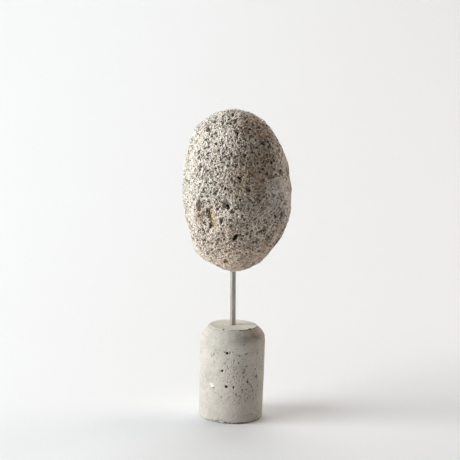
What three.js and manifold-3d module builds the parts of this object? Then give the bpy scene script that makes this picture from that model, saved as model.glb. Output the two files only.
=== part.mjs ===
// A pitted, egg-shaped stone held up by a thin steel rod on a cast concrete cylinder.
// Millimetres, +Z up. The origin is the middle of the base's underside, and the front faces -Y.

import * as THREE from 'three';
import { mergeVertices } from 'three/addons/utils/BufferGeometryUtils.js';
import Module from 'manifold-3d';

const wasm = await Module();
wasm.setup();

const { degToRad } = THREE.MathUtils;
const UP = new THREE.Vector3(0, 0, 1);

// ---------------------------------------------------------------- driving dimensions

// Clear space all round the rod's two hidden ends, and how far a cutter runs past an open face.
const fitGap = 0.3;
const overrun = 5;

// Base: a cast cylinder with a soft crease under its shoulder, and a slightly raised flat disc
// on top. A shoulder of squareness 1 would be a straight bevel, and one of 2 a round edge.
const baseHeight = 83.2;
const baseRadius = 29;
const footRadius = 28.5;
const footRounding = 1.8;
const discRadius = 21.1;
const discStep = 0.7;
const shoulderHeight = 8.2;
const shoulderSquareness = 1.4;
const shoulderSteps = 5;
const creaseDepth = 0.6;
const creaseRise = 4.5;
const baseSides = 44;

// Rod: straight 5 mm stock that leans a little to the left.
const rodRadius = 2.5;
const rodSides = 20;
const rodEntry = new THREE.Vector3(-0.2, 0, baseHeight);
const rodLean = degToRad(1.5);
const rodFootHeight = 53;
const rodTopHeight = 158;

// Stone: an ellipsoid with broad swells and flats, waves of low relief, and pits.
const stoneCentre = new THREE.Vector3(-0.6, 0, 204.3);
const stoneHalfSize = new THREE.Vector3(47.2, 39, 72.3);
const stoneMeshSplits = 10;
const facetEvenness = 0.6;
const skinRuggedness = 0.45;
const skinWander = 0.9;
const ruggedSeed = 5;

// Each swell or flat, on the sphere that the ellipsoid is stretched from. The azimuth is counted
// in degrees from the front towards +X, and the elevation upwards. The rise is a share of the
// stone's radius there, wide and tall are how far it spreads each way, and the turn tilts it.
const swells = {
  upperLeftShoulder: { azimuth: -84, elevation: 42, rise: 0.071, wide: 30, tall: 22 },
  shoulderCorner: { azimuth: -88, elevation: 43, rise: 0.012, wide: 14, tall: 4 },
  lowerLeftCorner: { azimuth: -82, elevation: -48, rise: 0.052, wide: 32, tall: 11 },
  lowerRightCheek: { azimuth: 82, elevation: -27, rise: 0.054, wide: 26, tall: 22 },
  lowerRightFlat: { azimuth: 80, elevation: -42, rise: -0.033, wide: 24, tall: 11 },
  upperRightFlat: { azimuth: 90, elevation: 68, rise: -0.036, wide: 34, tall: 54 },
  frontRidge: { azimuth: 6, elevation: 30, rise: 0.02, wide: 10, tall: 45 },
  rightFrontFlat: { azimuth: 42, elevation: 14, rise: -0.03, wide: 20, tall: 34 },
  backHollow: { azimuth: 165, elevation: 20, rise: -0.03, wide: 30, tall: 30 },
  diagonalGroove: { azimuth: 27, elevation: -10, rise: -0.02, wide: 15, tall: 4, turn: 42 },
  backSwell: { azimuth: 205, elevation: -30, rise: 0.035, wide: 28, tall: 26 },
};

// Waves of low relief that run through the stone in seeded directions.
const reliefSeed = 16;
const reliefWaves = 14;
const longestWave = 42;
const shortestWave = 10;
const reliefSteepness = 0.007;

// Marks that stand out on the front. The turn is in degrees from upright, and the other sizes
// are the opening's width and length and the depth, in millimetres.
const marks = {
  deepHole: { azimuth: 0, elevation: -32, width: 4.4, length: 5.2, depth: 4.6, turn: 10 },
  bowl: { azimuth: -10, elevation: -7, width: 9, length: 8, depth: 2.2, turn: 40 },
  bowlEye: { azimuth: -9, elevation: -8, width: 3.4, length: 3.2, depth: 4.2, turn: 0 },
  ringTop: { azimuth: -42, elevation: -7, width: 3.6, length: 5, depth: 2.4, turn: 50 },
  ringLow: { azimuth: -43, elevation: -11, width: 3.6, length: 4.8, depth: 2.6, turn: -20 },
  crookTop: { azimuth: -30, elevation: -12, width: 3, length: 6, depth: 2.3, turn: 30 },
  crookMiddle: { azimuth: -29, elevation: -17, width: 3, length: 7, depth: 2.4, turn: 8 },
  crookLow: { azimuth: -29, elevation: -23, width: 3.4, length: 5, depth: 2.8, turn: -25 },
  slotBesideCrook: { azimuth: -16, elevation: -19, width: 2.8, length: 6, depth: 2.2, turn: -6 },
  sideSlot: { azimuth: 58, elevation: -14, width: 3.6, length: 11, depth: 2.8, turn: -14 },
  sideNick: { azimuth: 70, elevation: -24, width: 3.4, length: 7, depth: 2.2, turn: -24 },
  shoulderPit: { azimuth: -50, elevation: 46, width: 4.4, length: 6, depth: 2.6, turn: -40 },
  browPit: { azimuth: -34, elevation: 44, width: 3.6, length: 4, depth: 2.4, turn: 0 },
  crownSlot: { azimuth: -4, elevation: 58, width: 3, length: 6, depth: 1.8, turn: 0 },
  rightBrowPit: { azimuth: 36, elevation: 38, width: 3.4, length: 4.4, depth: 2.6, turn: 0 },
  leftPit: { azimuth: -44, elevation: 18, width: 3.2, length: 4, depth: 2.4, turn: 0 },
  lowRightPit: { azimuth: 29, elevation: -34, width: 3.2, length: 3.6, depth: 2.6, turn: 20 },
  rustyPit: { azimuth: -17, elevation: -57, width: 3.4, length: 3, depth: 2, turn: 0 },
};

// Two sizes of pit scattered over the whole stone, clear of each other and of the marks.
const bowls = { seed: 97, count: 34, smallest: 4.2, largest: 6.4, depthShare: 0.4, spacing: 7 };
const nicks = { seed: 23, count: 165, smallest: 2.8, largest: 4.2, depthShare: 0.6, spacing: 1.4 };
const nickSides = 5;
const nickLip = 1.2;
const pitStretch = 0.4;
const pitDepthSpread = 0.2;

// Air holes in the concrete: azimuth in degrees, height above the floor, and diameter.
const airHoles = [
  { azimuth: -9, height: 64.3, size: 2.4 },
  { azimuth: -18, height: 47.8, size: 2.4 },
  { azimuth: -8, height: 34, size: 2.8 },
  { azimuth: 4, height: 33.8, size: 2 },
  { azimuth: 27, height: 38.4, size: 2 },
  { azimuth: -33, height: 31.2, size: 1.8 },
  { azimuth: 9, height: 26.8, size: 1.6 },
  { azimuth: 48, height: 42.3, size: 1.8 },
  { azimuth: 12, height: 62.1, size: 1.6 },
];

// Notches in the edge of the disc on top: azimuth and size.
const discNotches = [
  { azimuth: -24, size: 1.6 },
  { azimuth: 47, size: 2.4 },
];

// Chips out of the foot's edge: azimuth and size, and how high their middles lie in the edge.
const chipHeightShare = 0.2;
const footChips = [
  { azimuth: -34, size: 3.4 },
  { azimuth: -24, size: 2.6 },
  { azimuth: -12, size: 2.8 },
  { azimuth: 118, size: 3 },
];

const finishes = {
  pittedStone: { color: 0xb3a89b, roughness: 0.95, metalness: 0 },
  satinSteel: { color: 0x8f8b86, roughness: 0.35, metalness: 1 },
  castConcrete: { color: 0xc4c1b8, roughness: 0.85, metalness: 0 },
};

// ---------------------------------------------------------------- helpers

// A repeatable run of numbers between 0 and 1.
function seededNumbers(seed) {
  let state = seed;
  return () => {
    state = (state * 16807) % 2147483647;
    return state / 2147483647;
  };
}

// The unit vector at an azimuth from the front towards +X, and an elevation.
function direction(azimuth, elevation) {
  const turn = degToRad(azimuth);
  const rise = degToRad(elevation);
  return new THREE.Vector3(
    Math.cos(rise) * Math.sin(turn),
    -Math.cos(rise) * Math.cos(turn),
    Math.sin(rise),
  );
}

function seededDirection(next) {
  const height = 2 * next() - 1;
  const turn = 2 * Math.PI * next();
  const across = Math.sqrt(1 - height * height);
  return new THREE.Vector3(across * Math.sin(turn), -across * Math.cos(turn), height);
}

// A copy with shared corners and only positions, as a closed skin.
function mergedSkin(geometry) {
  const bare = geometry.clone();
  bare.deleteAttribute('normal');
  bare.deleteAttribute('uv');
  return mergeVertices(bare, 1e-4);
}

function toSolid(geometry) {
  const skin = mergedSkin(geometry);
  return new wasm.Manifold(new wasm.Mesh({
    numProp: 3,
    vertProperties: new Float32Array(skin.attributes.position.array),
    triVerts: new Uint32Array(skin.index.array),
  }));
}

function toGeometry(solid) {
  const { vertProperties, triVerts } = solid.getMesh();
  const geometry = new THREE.BufferGeometry();
  geometry.setAttribute('position', new THREE.BufferAttribute(new Float32Array(vertProperties), 3));
  geometry.setIndex(new THREE.BufferAttribute(new Uint32Array(triVerts), 1));
  geometry.computeVertexNormals();
  return geometry;
}

function namedMesh(name, geometry, finish) {
  const mesh = new THREE.Mesh(geometry, new THREE.MeshStandardMaterial(finish));
  mesh.name = name;
  return mesh;
}

// ---------------------------------------------------------------- rod

const rodAxis = new THREE.Vector3(-Math.sin(rodLean), 0, Math.cos(rodLean));

// The point on the rod's centre line at a height.
function onRod(height) {
  return rodEntry.clone().addScaledVector(rodAxis, (height - rodEntry.z) / rodAxis.z);
}

// A cylinder along the rod's centre line between two heights.
function rodCylinder(radius, lowest, highest) {
  const foot = onRod(lowest);
  const top = onRod(highest);
  const cylinder = new THREE.CylinderGeometry(radius, radius, foot.distanceTo(top), rodSides);
  cylinder.rotateX(Math.PI / 2);
  cylinder.rotateY(-rodLean);
  const middle = foot.add(top).multiplyScalar(0.5);
  return cylinder.translate(middle.x, middle.y, middle.z);
}

function makeRod() {
  return rodCylinder(rodRadius, rodFootHeight, rodTopHeight);
}

// ---------------------------------------------------------------- base

// Half of the base's section, from the middle of its underside round to the middle of its top.
function baseProfile() {
  const shoulderFoot = baseHeight - discStep - shoulderHeight;
  const points = [[0, 0]];
  for (const turn of [0, Math.PI / 4, Math.PI / 2]) {
    points.push([
      footRadius - footRounding * (1 - Math.sin(turn)),
      footRounding * (1 - Math.cos(turn)),
    ]);
  }
  points.push([baseRadius, shoulderFoot - creaseRise]);
  const shoulderWidth = baseRadius - creaseDepth - discRadius;
  for (let step = 0; step <= shoulderSteps; step += 1) {
    const turn = (step / shoulderSteps) * (Math.PI / 2);
    points.push([
      discRadius + shoulderWidth * Math.cos(turn) ** (2 / shoulderSquareness),
      shoulderFoot + shoulderHeight * Math.sin(turn) ** (2 / shoulderSquareness),
    ]);
  }
  points.push([discRadius, baseHeight], [0, baseHeight]);
  return points.map(([radius, height]) => new THREE.Vector2(radius, height));
}

// A small rough ball on the base's wall, which a hole or a chip is cut with.
function wallBall(azimuth, radius, height, size) {
  const centre = direction(azimuth, 0).multiplyScalar(radius);
  return new THREE.IcosahedronGeometry(size / 2, 0).translate(centre.x, centre.y, height);
}

function makeBase() {
  const cuts = [rodCylinder(rodRadius + fitGap, rodFootHeight - fitGap, baseHeight + overrun)];
  for (const { azimuth, height, size } of airHoles) {
    cuts.push(wallBall(azimuth, baseRadius, height, size));
  }
  for (const { azimuth, size } of discNotches) {
    cuts.push(wallBall(azimuth, discRadius, baseHeight, size));
  }
  for (const { azimuth, size } of footChips) {
    cuts.push(wallBall(azimuth, footRadius, chipHeightShare * size, size));
  }
  let solid = toSolid(new THREE.LatheGeometry(baseProfile(), baseSides).rotateX(Math.PI / 2));
  for (const cut of cuts) solid = solid.subtract(toSolid(cut));
  return toGeometry(solid);
}

// ---------------------------------------------------------------- stone

// A swell's own directions: its middle, and sideways and upwards from there, both turned.
const swellShapes = Object.values(swells).map(({ turn = 0, ...swell }) => {
  const middle = direction(swell.azimuth, swell.elevation);
  return {
    ...swell,
    middle,
    sideways: direction(swell.azimuth + 90, 0).applyAxisAngle(middle, degToRad(turn)),
    upwards: direction(swell.azimuth, swell.elevation + 90).applyAxisAngle(middle, degToRad(turn)),
  };
});

function makeRelief() {
  const next = seededNumbers(reliefSeed);
  return Array.from({ length: reliefWaves }, (_, index) => {
    const share = index / (reliefWaves - 1);
    const wavelength = longestWave * (shortestWave / longestWave) ** share;
    return {
      path: seededDirection(next).multiplyScalar((2 * Math.PI) / wavelength),
      phase: 2 * Math.PI * next(),
      height: reliefSteepness * wavelength,
    };
  });
}

const relief = makeRelief();

function skinNormal(unit) {
  return unit.clone().divide(stoneHalfSize).normalize();
}

// The point of the stone's skin, from the stone's centre, that a unit vector is stretched to.
function skinPoint(unit) {
  let stretch = 1;
  for (const { middle, sideways, upwards, rise, wide, tall } of swellShapes) {
    const across = Math.atan2(unit.dot(sideways), unit.dot(middle)) / degToRad(wide);
    const along = Math.asin(THREE.MathUtils.clamp(unit.dot(upwards), -1, 1)) / degToRad(tall);
    stretch += rise * Math.exp(-across * across - along * along);
  }
  const point = unit.clone().multiply(stoneHalfSize).multiplyScalar(stretch);
  let lift = 0;
  for (const { path, phase, height } of relief) {
    lift += height * Math.sin(point.dot(path) + phase);
  }
  return point.addScaledVector(skinNormal(unit), lift);
}

// The stone before its pits: a net of rugged facets with seeded, uneven corners.
function makeRuggedSkin() {
  const next = seededNumbers(ruggedSeed);
  const skin = mergedSkin(new THREE.IcosahedronGeometry(1, stoneMeshSplits));
  const corners = skin.attributes.position;
  const squeeze = new THREE.Vector3(...stoneHalfSize.toArray().map((half) => half ** facetEvenness));
  const unit = new THREE.Vector3();
  for (let index = 0; index < corners.count; index += 1) {
    unit.fromBufferAttribute(corners, index).divide(squeeze).normalize();
    unit.addScaledVector(seededDirection(next), skinWander / stoneHalfSize.z).normalize();
    const point = skinPoint(unit);
    point.addScaledVector(skinNormal(unit), skinRuggedness * (2 * next() - 1));
    corners.setXYZ(index, point.x, point.y, point.z);
  }
  return skin;
}

// Puts a cutter that faces +Z on the skin, facing outwards and turned about the skin's normal.
function seatOnSkin(cutter, { unit, turn }) {
  const outwards = skinNormal(unit);
  const across = new THREE.Vector3().crossVectors(UP, outwards).normalize();
  const upwards = new THREE.Vector3().crossVectors(outwards, across);
  const middle = skinPoint(unit);
  cutter.rotateZ(degToRad(turn));
  cutter.applyMatrix4(new THREE.Matrix4().makeBasis(across, upwards, outwards));
  return cutter.translate(middle.x, middle.y, middle.z);
}

function bowlCutter(pit) {
  const bowl = new THREE.IcosahedronGeometry(1, 0).scale(pit.width / 2, pit.length / 2, pit.depth);
  return seatOnSkin(bowl, pit);
}

// A few-sided point that widens past the skin, so that its opening keeps the pit's size.
function nickCutter(pit) {
  const height = pit.depth + nickLip;
  const widen = height / pit.depth / 2;
  const point = new THREE.ConeGeometry(1, height, nickSides).rotateX(-Math.PI / 2);
  point.scale(pit.width * widen, pit.length * widen, 1);
  point.translate(0, 0, nickLip - height / 2);
  return seatOnSkin(point, pit);
}

// Seeded pits of one kind that keep clear of the pits already there and of each other.
function scatterPits({ seed, count, smallest, largest, depthShare, spacing }, taken) {
  const next = seededNumbers(seed);
  const shortestHalf = Math.min(...stoneHalfSize.toArray());
  const placed = taken.map((pit) => ({ ...pit, middle: skinPoint(pit.unit) }));
  const pits = [];
  while (pits.length < count) {
    const unit = seededDirection(next);
    const width = smallest + (largest - smallest) * next();
    const pit = {
      unit,
      middle: skinPoint(unit),
      width,
      length: width * (1 + pitStretch * next()),
      depth: width * depthShare * (1 + pitDepthSpread * (2 * next() - 1)),
      turn: 180 * next(),
    };
    const evenness = unit.clone().divide(stoneHalfSize).length() * shortestHalf;
    const clear = placed.every((other) => (
      other.middle.distanceTo(pit.middle) > (other.length + pit.length) / 2 + spacing
    ));
    if (clear && next() < evenness) {
      pits.push(pit);
      placed.push(pit);
    }
  }
  return pits;
}

function makeStone() {
  const markPits = Object.values(marks).map((mark) => ({
    ...mark,
    unit: direction(mark.azimuth, mark.elevation),
  }));
  const bowlPits = scatterPits(bowls, markPits);
  const nickPits = scatterPits(nicks, [...markPits, ...bowlPits]);
  const lowestPoint = stoneCentre.z - stoneHalfSize.z;
  const drill = rodCylinder(rodRadius + fitGap, lowestPoint - overrun, rodTopHeight + fitGap);
  const cuts = [
    ...markPits.map(bowlCutter),
    ...bowlPits.map(bowlCutter),
    ...nickPits.map(nickCutter),
    drill.translate(-stoneCentre.x, -stoneCentre.y, -stoneCentre.z),
  ];
  let solid = toSolid(makeRuggedSkin());
  for (const cut of cuts) solid = solid.subtract(toSolid(cut));
  return toGeometry(solid);
}

// ---------------------------------------------------------------- assembly

const meteorite = new THREE.Group();
meteorite.name = 'meteorite_on_stand';

const base = namedMesh('base', makeBase(), finishes.castConcrete);
const rod = namedMesh('rod', makeRod(), finishes.satinSteel);
const stone = namedMesh('stone', makeStone(), finishes.pittedStone);
stone.position.copy(stoneCentre);
meteorite.add(base, rod, stone);

export default meteorite;
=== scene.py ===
"""A pitted, egg-shaped stone on a thin steel rod in a cast concrete base, and a studio for it.

Sizes in the tables are millimetres and degrees. Every mesh is made in metres.
"""

import math
from typing import NamedTuple

import bmesh
import bpy
import numpy as np
from bpy.props import FloatProperty, FloatVectorProperty, PointerProperty
from mathutils import Matrix, Vector


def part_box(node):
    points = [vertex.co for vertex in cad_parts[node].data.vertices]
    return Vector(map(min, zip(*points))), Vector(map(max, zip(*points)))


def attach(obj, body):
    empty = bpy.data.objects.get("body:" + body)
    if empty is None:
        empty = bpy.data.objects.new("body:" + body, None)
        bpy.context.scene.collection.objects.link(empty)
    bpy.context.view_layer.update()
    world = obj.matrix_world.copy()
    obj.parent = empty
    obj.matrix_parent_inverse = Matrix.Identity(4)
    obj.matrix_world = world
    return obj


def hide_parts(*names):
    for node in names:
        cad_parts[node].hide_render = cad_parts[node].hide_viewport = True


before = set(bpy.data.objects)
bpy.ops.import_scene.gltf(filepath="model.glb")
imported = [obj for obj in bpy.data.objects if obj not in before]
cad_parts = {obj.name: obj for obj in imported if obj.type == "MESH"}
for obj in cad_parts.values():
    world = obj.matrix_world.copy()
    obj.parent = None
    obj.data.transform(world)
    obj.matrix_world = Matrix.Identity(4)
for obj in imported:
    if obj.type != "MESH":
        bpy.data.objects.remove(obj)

bl_info = {
    "name": "Stone on a Rod Stand",
    "version": (1, 0, 0),
    "blender": (4, 5, 0),
    "location": "View3D > Sidebar > Stone Stand",
    "description": "Makes a pitted stone on a steel rod in a concrete base, and its studio",
    "category": "Add Mesh",
}

MM = 0.001
UP = np.array([0.0, 0.0, 1.0])
QUARTER_TURN = 90
HALF_TURN = 180
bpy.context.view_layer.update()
ROOT_BODY = "root"


def node_box(node):
    """A node's lowest and highest corners in millimetres."""
    return [np.array(corner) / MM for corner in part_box(node)]


# ---- sizes from the frame

base_low, base_high = node_box("base")
rod_low, rod_high = node_box("rod")
BASE_HEIGHT = base_high[2]
BASE_RADIUS = (base_high[0] - base_low[0]) / 2
ROD_RADIUS = (rod_high[1] - rod_low[1]) / 2
ROD_MIDDLE = (rod_low + rod_high) / 2
ROD_FOOT = rod_low[2]
ROD_TOP = rod_high[2]

# ---- the base's own sizes

FOOT_RADIUS = 28.5
FOOT_ROUNDING = 1.8
DISC_RADIUS = 21.1
DISC_STEP = 0.7
SHOULDER_HEIGHT = 8.2
SHOULDER_SQUARENESS = 1.4
CREASE_DEPTH = 0.6
CREASE_RISE = 4.5
GROOVE_DEPTH = 0.55
GROOVE_WIDTH = 0.9
SEAM_DEPTH = 0.8
SEAM_HEIGHT = 76.6
SEAM_WAVE = 0.7
SEAM_WAVES = 3
SEAM_PHASE = 60
SEAM_WIDTH = 0.8
BASE_GRID = 0.28
UNDERSIDE_GRID = 1.0
POLE_RADIUS = 0.2
CURVE_POINTS = 12
SHOULDER_POINTS = 40
LEVEL_WITHIN = 0.01
BASE_TRIANGLES = 130_000

# ---- the rod's own sizes

ROD_LEAN = math.radians(1.5)
ROD_AXIS = np.array([-math.sin(ROD_LEAN), 0, math.cos(ROD_LEAN)])
ROD_CHAMFER = 0.35
ROD_SIDES = 64
ROD_GRID = 2.5
FIT_GAP = 0.3

# ---- the stone's own sizes

STONE_CENTRE = np.array([-0.6, 0, 204.3])
STONE_HALF_SIZE = np.array([47.2, 39, 72.3])
FACET_EVENNESS = 0.6
STONE_SPLITS = 9
STONE_GRID = 0.24
STONE_TRIANGLES = 192_000


class Swell(NamedTuple):
    """A broad rise or flat on the sphere that the stone is stretched from, in degrees."""

    azimuth: float
    elevation: float
    rise: float
    wide: float
    tall: float
    turn: float = 0


SWELLS = {
    "upper left shoulder": Swell(-84, 42, 0.071, 30, 22),
    "shoulder corner": Swell(-88, 43, 0.012, 14, 4),
    "lower left corner": Swell(-82, -48, 0.052, 32, 11),
    "lower right cheek": Swell(82, -27, 0.054, 26, 22),
    "lower right flat": Swell(80, -42, -0.033, 24, 11),
    "upper right flat": Swell(90, 68, -0.036, 34, 54),
    "front ridge": Swell(6, 30, 0.02, 10, 45),
    "right front flat": Swell(42, 14, -0.03, 20, 34),
    "back hollow": Swell(165, 20, -0.03, 30, 30),
    "diagonal groove": Swell(27, -10, -0.02, 15, 4, 42),
    "back swell": Swell(205, -30, 0.035, 28, 26),
}

RELIEF_SEED = 16
RELIEF_WAVES = 14
LONGEST_WAVE = 42
SHORTEST_WAVE = 10
RELIEF_STEEPNESS = 0.007


class Mark(NamedTuple):
    """A hole or slot at an azimuth and elevation, with the size of its opening and its turn."""

    azimuth: float
    elevation: float
    width: float
    length: float
    depth: float
    turn: float = 0


STONE_MARKS = {
    "deep hole": Mark(0, -32, 4.4, 5.2, 4.6, 10),
    "bowl": Mark(-10, -7, 9, 8, 2.2, 40),
    "bowl eye": Mark(-9, -8, 3.4, 3.2, 4.2),
    "ring top": Mark(-42, -7, 3.6, 5, 2.4, 50),
    "ring low": Mark(-43, -11, 3.6, 4.8, 2.6, -20),
    "crook top": Mark(-30, -12, 3, 6, 2.3, 30),
    "crook middle": Mark(-29, -17, 3, 7, 2.4, 8),
    "crook low": Mark(-29, -23, 3.4, 5, 2.8, -25),
    "slot beside crook": Mark(-16, -19, 2.8, 6, 2.2, -6),
    "side slot": Mark(58, -14, 3.6, 11, 2.8, -14),
    "side nick": Mark(70, -24, 3.4, 7, 2.2, -24),
    "shoulder pit": Mark(-50, 46, 4.4, 6, 2.6, -40),
    "brow pit": Mark(-34, 44, 3.6, 4, 2.4),
    "crown slot": Mark(-4, 58, 3, 6, 1.8),
    "right brow pit": Mark(36, 38, 3.4, 4.4, 2.6),
    "left pit": Mark(-44, 18, 3.2, 4, 2.4),
    "low right pit": Mark(29, -34, 3.2, 3.6, 2.6, 20),
    "rusty pit": Mark(-17, -57, 3.4, 3, 2),
}

# Smaller pits and cracks, cut into and beside the marks.
FINE_MARKS = [
    Mark(*sizes)
    for sizes in (
        (1.5, -30, 2.8, 4.4, 3.2, -24), (-1.5, -32.5, 3.4, 3.6, 3.6), (-8, -9.5, 2.8, 3, 3),
        (-12, -6.5, 2, 2.2, 1.6, 30), (-5, -11.5, 1.8, 2.6, 1.6, 30), (74, -35, 3, 9, 1.6, -20),
        (68, -27, 2.6, 6, 2.4, -16), (34, -18, 2.2, 2.6, 2), (-38, -6.5, 2, 2.2, 1.8),
        (-37, -13.5, 2, 2.6, 1.8), (-49, -5, 1.8, 2.2, 1.6), (-39, -17.5, 2, 2.2, 1.8),
        (-46, -17, 2.2, 2, 1.8), (-36, -21, 2, 2.4, 1.8), (-50, -12.5, 1.8, 2.4, 1.6),
        (-34, -27, 2.2, 2, 1.8), (20, 50, 2.6, 2.2, 2), (30, 56, 2.4, 3, 2), (27, 46, 2, 3, 2, 30),
        (16, 58, 2.2, 2.2, 1.8), (20, -26, 2.6, 2, 2), (27, -28, 2, 2.6, 2),
        (38, -25, 2.4, 2.4, 2), (44, -33, 2.8, 2.2, 2.2), (14, -23.5, 2.2, 2.8, 2),
        (18, -39, 2.6, 2.2, 2), (8, -45, 2.2, 2.6, 2), (36, -43, 2.6, 2.6, 2.2),
        (48, -22, 2.2, 2.6, 2), (25, -50, 2.8, 2, 2), (-6, -47, 2, 2.4, 2),
        (-22, -43, 2.6, 2.2, 2), (-31, -37, 2.2, 2.4, 2), (-11, -37, 2.2, 2.2, 2),
        (10, -30, 2.4, 1.8, 2, 40), (40, -16, 2.6, 1.8, 2, 30), (-45.5, -9.5, 2, 6, 2),
        (-40.8, -9, 1.8, 5, 1.8, 10), (-43.5, -12.5, 4, 2, 2), (-42.5, -6, 3.4, 1.8, 1.8),
        (-33, -12.5, 2.4, 4.6, 2.2), (-30.6, -16.5, 2, 5, 2.2, 30), (-28.2, -21, 2.2, 6, 2.4, 12),
        (-29.8, -24, 2.6, 2.6, 2.6), (-16, -18.5, 2.4, 5.6, 2.4, 15), (-14, -22, 2.8, 1.9, 2),
        (2, -7.2, 2.8, 2.2, 2), (-18.5, -2, 2.1, 2.4, 1.9), (-11, 0, 2.2, 2.4, 1.9),
        (-9, 3.4, 2, 2.2, 1.8), (-23, 0.4, 2, 2.4, 1.8), (13.5, -9.5, 2, 2, 1.8),
        (-17, -8.5, 2, 2.2, 1.8), (-26.5, -9, 2, 2.2, 1.8), (10, -17.5, 3, 2, 2, -50),
        (22, -17, 3.6, 1.8, 1.8, 30), (60, -16, 2.2, 10, 2.4, -12),
    )
]


class Scatter(NamedTuple):
    """Seeded pits of one kind, clear of each other and of the marks."""

    seed: int
    count: int
    smallest: float
    largest: float
    depth_share: float
    spacing: float


BOWLS = Scatter(97, 34, 4.2, 6.4, 0.4, 7)
NICKS = Scatter(23, 165, 2.8, 4.2, 0.6, 1.4)
PIT_STRETCH = 0.4
PIT_DEPTH_SPREAD = 0.2


class Patch(NamedTuple):
    """A soft-edged patch on the stone, in degrees and millimetres across the surface."""

    azimuth: float
    elevation: float
    width: float
    length: float
    turn: float = 0
    strength: float = 1


# Worn places with few pores.
SMOOTH_PATCHES = [
    Patch(45, 0, 15, 11, 30, 0.9),
    Patch(36, -10, 15, 11, 40, 0.9),
    Patch(9, -5, 10, 22, 4, 0.7),
    Patch(-23, -17.5, 8, 22, 6, 1.2),
    Patch(0, -84, 60, 44, 0, 0.7),
    Patch(-62, 8, 34, 60, 0, 0.45),
    Patch(64, -2, 20, 44, 0, 0.55),
    Patch(-24, -25, 9, 14, 6, 0.9),
]

# Places tinted by what has grown, settled or worn there, and places where light or shade is painted
# in part: the darker right side and the lower right ledge hold painted shade, the pale right edge
# painted rim light and the pale yellow ridge a painted highlight.
TINTED_PATCHES = {
    # The pale yellow ridge and a faint streak on the front ridge: partly the stone's own colour,
    # partly a painted highlight where the ridge faces the key lamp.
    "ridge_tint_and_painted_highlight": [
        Patch(-24, -16.5, 10, 24, 8, 1),
        Patch(-21, -23, 8, 12, 4, 0.9),
        Patch(6, 14, 8, 30, 6, 0.4),
    ],
    "ochre": [
        Patch(-28, -13.5, 5.5, 7, 20, 1),
        Patch(-26, -19, 3.4, 11, 8, 0.8),
        Patch(-17, -57, 5, 5, 0, 0.9),
        Patch(58, 30, 5, 8, 0, 0.5),
    ],
    "slate": [
        Patch(36, -10, 16, 12, 40, 0.8),
        Patch(12, -6, 14, 26, 4, 0.9),
        Patch(30, 54, 22, 20, 20, 0.6),
        Patch(14, 48, 12, 16, 0, 0.4),
    ],
    # Darker brown over the right side and top right, and a few smaller places: partly weather-worn
    # colour, partly painted shade where the lamps leave the stone dark.
    "darker_patches_and_painted_shade": [
        Patch(31, 52, 38, 40, 0, 1),
        Patch(12, 14, 46, 60, 0, 0.9),
        Patch(34, 28, 34, 50, 0, 0.65),
        Patch(-16, 18, 30, 50, 0, 0.35),
        # Painted shadow under the overhanging ledge at the lower right rim.
        Patch(78, -38, 7, 26, -20, 1),
        Patch(-42, -15, 16, 24, 0, 0.75),
    ],
    # Pale patches along the right edge: partly smooth worn stone, partly painted rim light where
    # light from the right catches that edge.
    "pale_edge_and_painted_rim_light": [
        Patch(48, -1, 20, 18, 30, 1),
        Patch(64, -4, 18, 46, 0, 1),
        Patch(38, -12, 12, 10, 40, 0.5),
        Patch(52, -20, 18, 40, -10, 0.35),
        Patch(66, 4, 18, 44, 0, 0.5),
    ],
}

# ---- holes in the concrete


class AirHole(NamedTuple):
    """A hole in the base's wall: azimuth in degrees, then height, width, length and depth."""

    azimuth: float
    height: float
    width: float
    length: float
    depth: float
    turn: float = 0


AIR_HOLES = [
    AirHole(*sizes)
    for sizes in (
        (-9, 64.1, 2.3, 2.7, 1.7), (-17, 47.9, 2.2, 2.3, 1.7), (-9, 33.9, 2.8, 2.4, 2),
        (4, 33.8, 2, 2.2, 1.5), (29, 38, 1.8, 2.3, 1.4, -25), (-33, 31.5, 1.7, 1.5, 1.1),
        (9, 26.8, 1.3, 1.9, 1), (49, 42.1, 2, 1.9, 1.2), (13, 62, 1.6, 1.5, 1),
        (21, 71.8, 1.4, 1.2, 0.8), (11, 55.6, 1.4, 1.3, 0.9), (25, 63.5, 2.6, 1.1, 0.6, 30),
        (48, 62.4, 1.3, 1.2, 0.8), (63, 48.8, 1.8, 1.7, 1.1), (8, 51, 1.2, 1.2, 0.7),
        (-7, 58.8, 1.2, 1.1, 0.7), (3, 57, 0.9, 1, 0.6), (22, 47.1, 1.3, 1.2, 0.5),
        (50, 28, 1.4, 1.3, 0.9), (49, 25, 1.2, 1.3, 0.8), (35, 24.8, 1.1, 1, 0.7),
        (28, 27, 1.3, 1.6, 0.6), (41, 7.8, 1.6, 1.4, 0.8), (56, 14.6, 1.5, 1.2, 0.7),
        (-33, 55.5, 1.3, 1.1, 0.6), (-60, 55, 1.4, 1.5, 0.6), (-49, 55.8, 0.9, 0.8, 0.4),
        (33, 36.4, 1, 1.1, 0.5), (38, 33.2, 0.9, 4.6, 0.7, 12), (42, 28.8, 0.9, 5, 0.7, 4),
        (110, 52, 2.4, 2.2, 1.5), (128, 36, 1.8, 2, 1.2), (150, 60, 2.2, 2.4, 1.5),
        (171, 44, 2.6, 2.4, 1.8), (184, 22, 1.8, 1.7, 1.1), (205, 66, 2, 1.8, 1.2),
        (226, 38, 2.4, 2.3, 1.6), (248, 54, 1.7, 1.9, 1.1), (262, 29, 2, 1.8, 1.2),
    )
]
NOTCH_HEIGHT = BASE_HEIGHT - DISC_STEP / 2
DISC_NOTCHES = [
    AirHole(-24, NOTCH_HEIGHT, 1.6, 1.5, 1),
    AirHole(47, NOTCH_HEIGHT, 2.6, 2, 1.5),
]
SHELL_CHIP = AirHole(-38, 33.6, 8, 4.4, 0.5, -34)

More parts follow.
